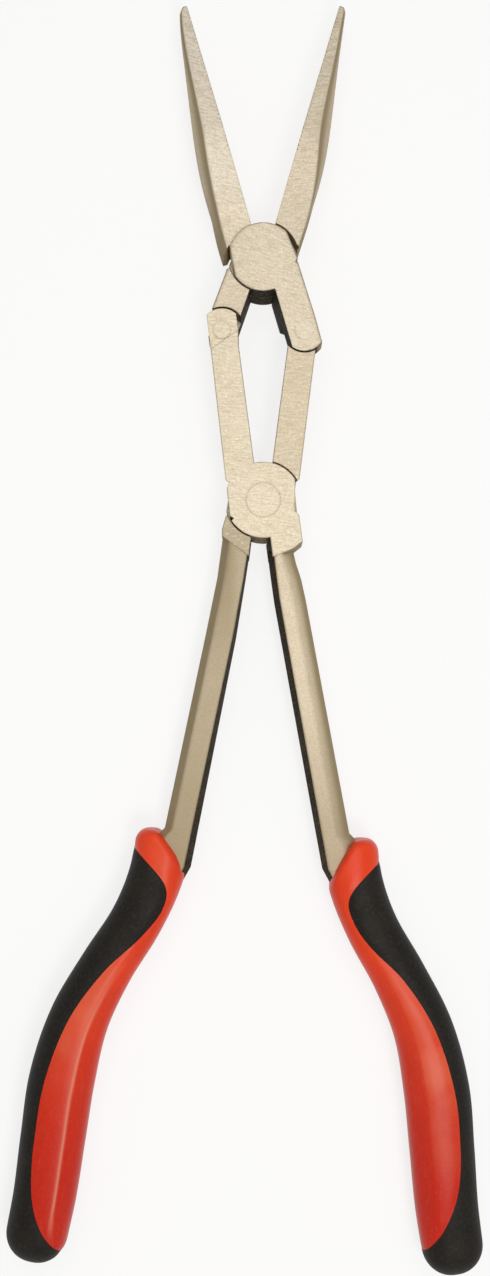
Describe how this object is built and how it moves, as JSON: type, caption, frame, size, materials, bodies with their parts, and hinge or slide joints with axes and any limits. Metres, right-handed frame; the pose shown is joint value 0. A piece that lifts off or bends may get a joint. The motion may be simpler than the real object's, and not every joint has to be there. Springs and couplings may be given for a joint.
{
  "type": "needle nose pliers",
  "caption": "Double-jointed long-reach needle nose pliers: slim tapered jaws on linked levers, slender steel handles and curved two-tone grips, held part open.",
  "frame": {"origin": "on the main rivet's axis, in the ground rear face of the joint", "axes": "+Y runs from the grips to the jaw tips along the line the tool is symmetric about, +Z comes out of the front face, +X is to the right seen from the front"},
  "size_m": [0.1035, 0.2749, 0.014],
  "materials": {
    "forged_steel": "satin nickel plate over ground faces",
    "rivet_steel": "ground flush, satin",
    "red_sleeve": "semi-gloss moulded",
    "black_pad": "matte soft overmould"
  },
  "bodies": {
    "front_handle": {"handle_front": "forged_steel", "grip_sleeve_right": "red_sleeve", "grip_pad_right": "black_pad"},
    "rear_handle": {"handle_rear": "forged_steel", "main_rivet": "rivet_steel", "grip_sleeve_left": "red_sleeve", "grip_pad_left": "black_pad"},
    "rear_jaw": {"jaw_rear": "forged_steel", "link_rivet_left": "rivet_steel"},
    "front_jaw": {"jaw_front": "forged_steel", "jaw_rivet": "rivet_steel", "link_rivet_right": "rivet_steel"}
  },
  "joints": [
    {"name": "main_pivot", "type": "hinge", "parent": "front_handle", "child": "rear_handle", "pos_m": [0, 0, 0], "axis": [0, 0, -1], "range_deg": [-14.94, 5]},
    {"name": "left_link_pivot", "type": "hinge", "parent": "front_handle", "child": "rear_jaw", "pos_m": [-0.00886, 0.03641, 0], "axis": [0, 0, -1], "range_deg": [-23.96, 8.02]},
    {"name": "jaw_pivot", "type": "hinge", "parent": "rear_jaw", "child": "front_jaw", "pos_m": [0, 0.05207, 0], "axis": [0, 0, 1], "range_deg": [-32.98, 11.04]}
  ],
  "couplings": [
    {"joint": "left_link_pivot", "follows": "main_pivot", "ratio": 1.6035},
    {"joint": "jaw_pivot", "follows": "main_pivot", "ratio": 2.2071}
  ]
}
